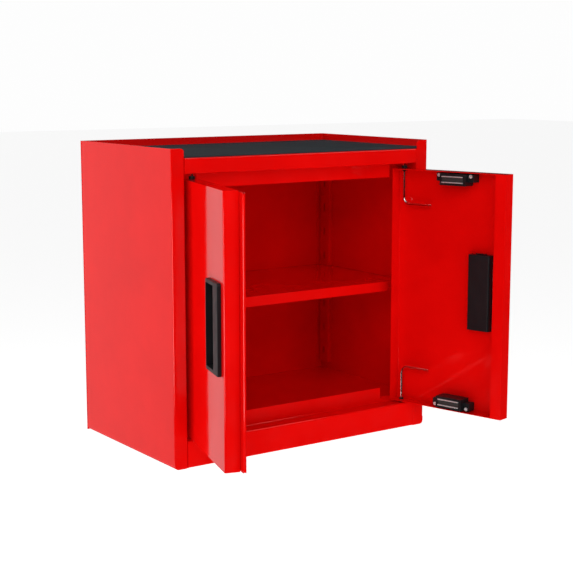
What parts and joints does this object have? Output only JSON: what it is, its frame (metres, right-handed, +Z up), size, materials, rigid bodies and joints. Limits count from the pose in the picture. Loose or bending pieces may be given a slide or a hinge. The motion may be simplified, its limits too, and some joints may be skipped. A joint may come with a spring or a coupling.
{
  "type": "wall cabinet",
  "caption": "Boxy steel wall cabinet with a matted tray top, double pan doors on sliding pivot rods, recessed pulls, magnetic catches and an adjustable shelf.",
  "frame": {"origin": "centre of the back panel's rear face, where the cabinet meets the wall", "axes": "+Z up, +Y into the wall, the doors face -Y, +X to the right of a person facing the doors"},
  "size_m": [0.667, 0.6198, 0.6],
  "materials": {
    "red_paint": "glossy red powder coat on folded sheet steel",
    "black_plastic": "fine-grained black moulding",
    "rubber": "matt blue-grey mat",
    "chrome": "bright drawn wire",
    "zinc": "bright zinc plate",
    "ferrite": "dark grey sintered magnet"
  },
  "bodies": {
    "cabinet": {"back_panel": "red_paint", "bottom_rail": "red_paint", "floor_panel": "red_paint", "hanging_rail": "red_paint", "left_front_shelf_clip": "zinc", "left_front_upright": "red_paint", "left_rear_shelf_clip": "zinc", "left_rear_upright": "red_paint", "left_side_panel": "red_paint", "right_front_shelf_clip": "zinc", "right_front_upright": "red_paint", "right_rear_shelf_clip": "zinc", "right_rear_upright": "red_paint", "right_side_panel": "red_paint", "top_panel": "red_paint", "tray_mat": "rubber"},
    "shelf": {"shelf": "red_paint"},
    "left_door": {"left_door_handle": "black_plastic", "left_door_meeting_strip": "red_paint", "left_door_panel": "red_paint", "left_lower_catch_free_side_screw": "zinc", "left_lower_catch_hinge_side_screw": "zinc", "left_lower_catch_housing": "black_plastic", "left_lower_catch_magnet": "ferrite", "left_lower_catch_yoke": "zinc", "left_lower_pivot_bush": "black_plastic", "left_upper_catch_free_side_screw": "zinc", "left_upper_catch_hinge_side_screw": "zinc", "left_upper_catch_housing": "black_plastic", "left_upper_catch_magnet": "ferrite", "left_upper_catch_yoke": "zinc", "left_upper_pivot_bush": "black_plastic"},
    "right_door": {"right_door_handle": "black_plastic", "right_door_panel": "red_paint", "right_lower_catch_free_side_screw": "zinc", "right_lower_catch_hinge_side_screw": "zinc", "right_lower_catch_housing": "black_plastic", "right_lower_catch_magnet": "ferrite", "right_lower_catch_yoke": "zinc", "right_lower_pivot_bush": "black_plastic", "right_upper_catch_free_side_screw": "zinc", "right_upper_catch_hinge_side_screw": "zinc", "right_upper_catch_housing": "black_plastic", "right_upper_catch_magnet": "ferrite", "right_upper_catch_yoke": "zinc", "right_upper_pivot_bush": "black_plastic"},
    "left_upper_rod": {"left_upper_pivot_rod": "chrome"},
    "left_lower_rod": {"left_lower_pivot_rod": "chrome"},
    "right_upper_rod": {"right_upper_pivot_rod": "chrome"},
    "right_lower_rod": {"right_lower_pivot_rod": "chrome"}
  },
  "joints": [
    {"name": "left_door_hinge", "type": "hinge", "parent": "cabinet", "child": "left_door", "pos_m": [-0.253, -0.353, 0], "axis": [0, 0, 1], "range_deg": [-8, 106.4]},
    {"name": "right_door_hinge", "type": "hinge", "parent": "cabinet", "child": "right_door", "pos_m": [0.253, -0.353, 0], "axis": [0, 0, -1], "range_deg": [-8, 104.4]},
    {"name": "shelf_lift", "type": "slide", "parent": "cabinet", "child": "shelf", "axis": [0, 0, 1], "range_m": [0, 0.02]},
    {"name": "left_upper_rod_slide", "type": "slide", "parent": "left_door", "child": "left_upper_rod", "axis": [0, 0, -1], "range_m": [0, 0.013]},
    {"name": "left_lower_rod_slide", "type": "slide", "parent": "left_door", "child": "left_lower_rod", "axis": [0, 0, 1], "range_m": [0, 0.012]},
    {"name": "right_upper_rod_slide", "type": "slide", "parent": "right_door", "child": "right_upper_rod", "axis": [0, 0, -1], "range_m": [0, 0.013]},
    {"name": "right_lower_rod_slide", "type": "slide", "parent": "right_door", "child": "right_lower_rod", "axis": [0, 0, 1], "range_m": [0, 0.012]}
  ]
}
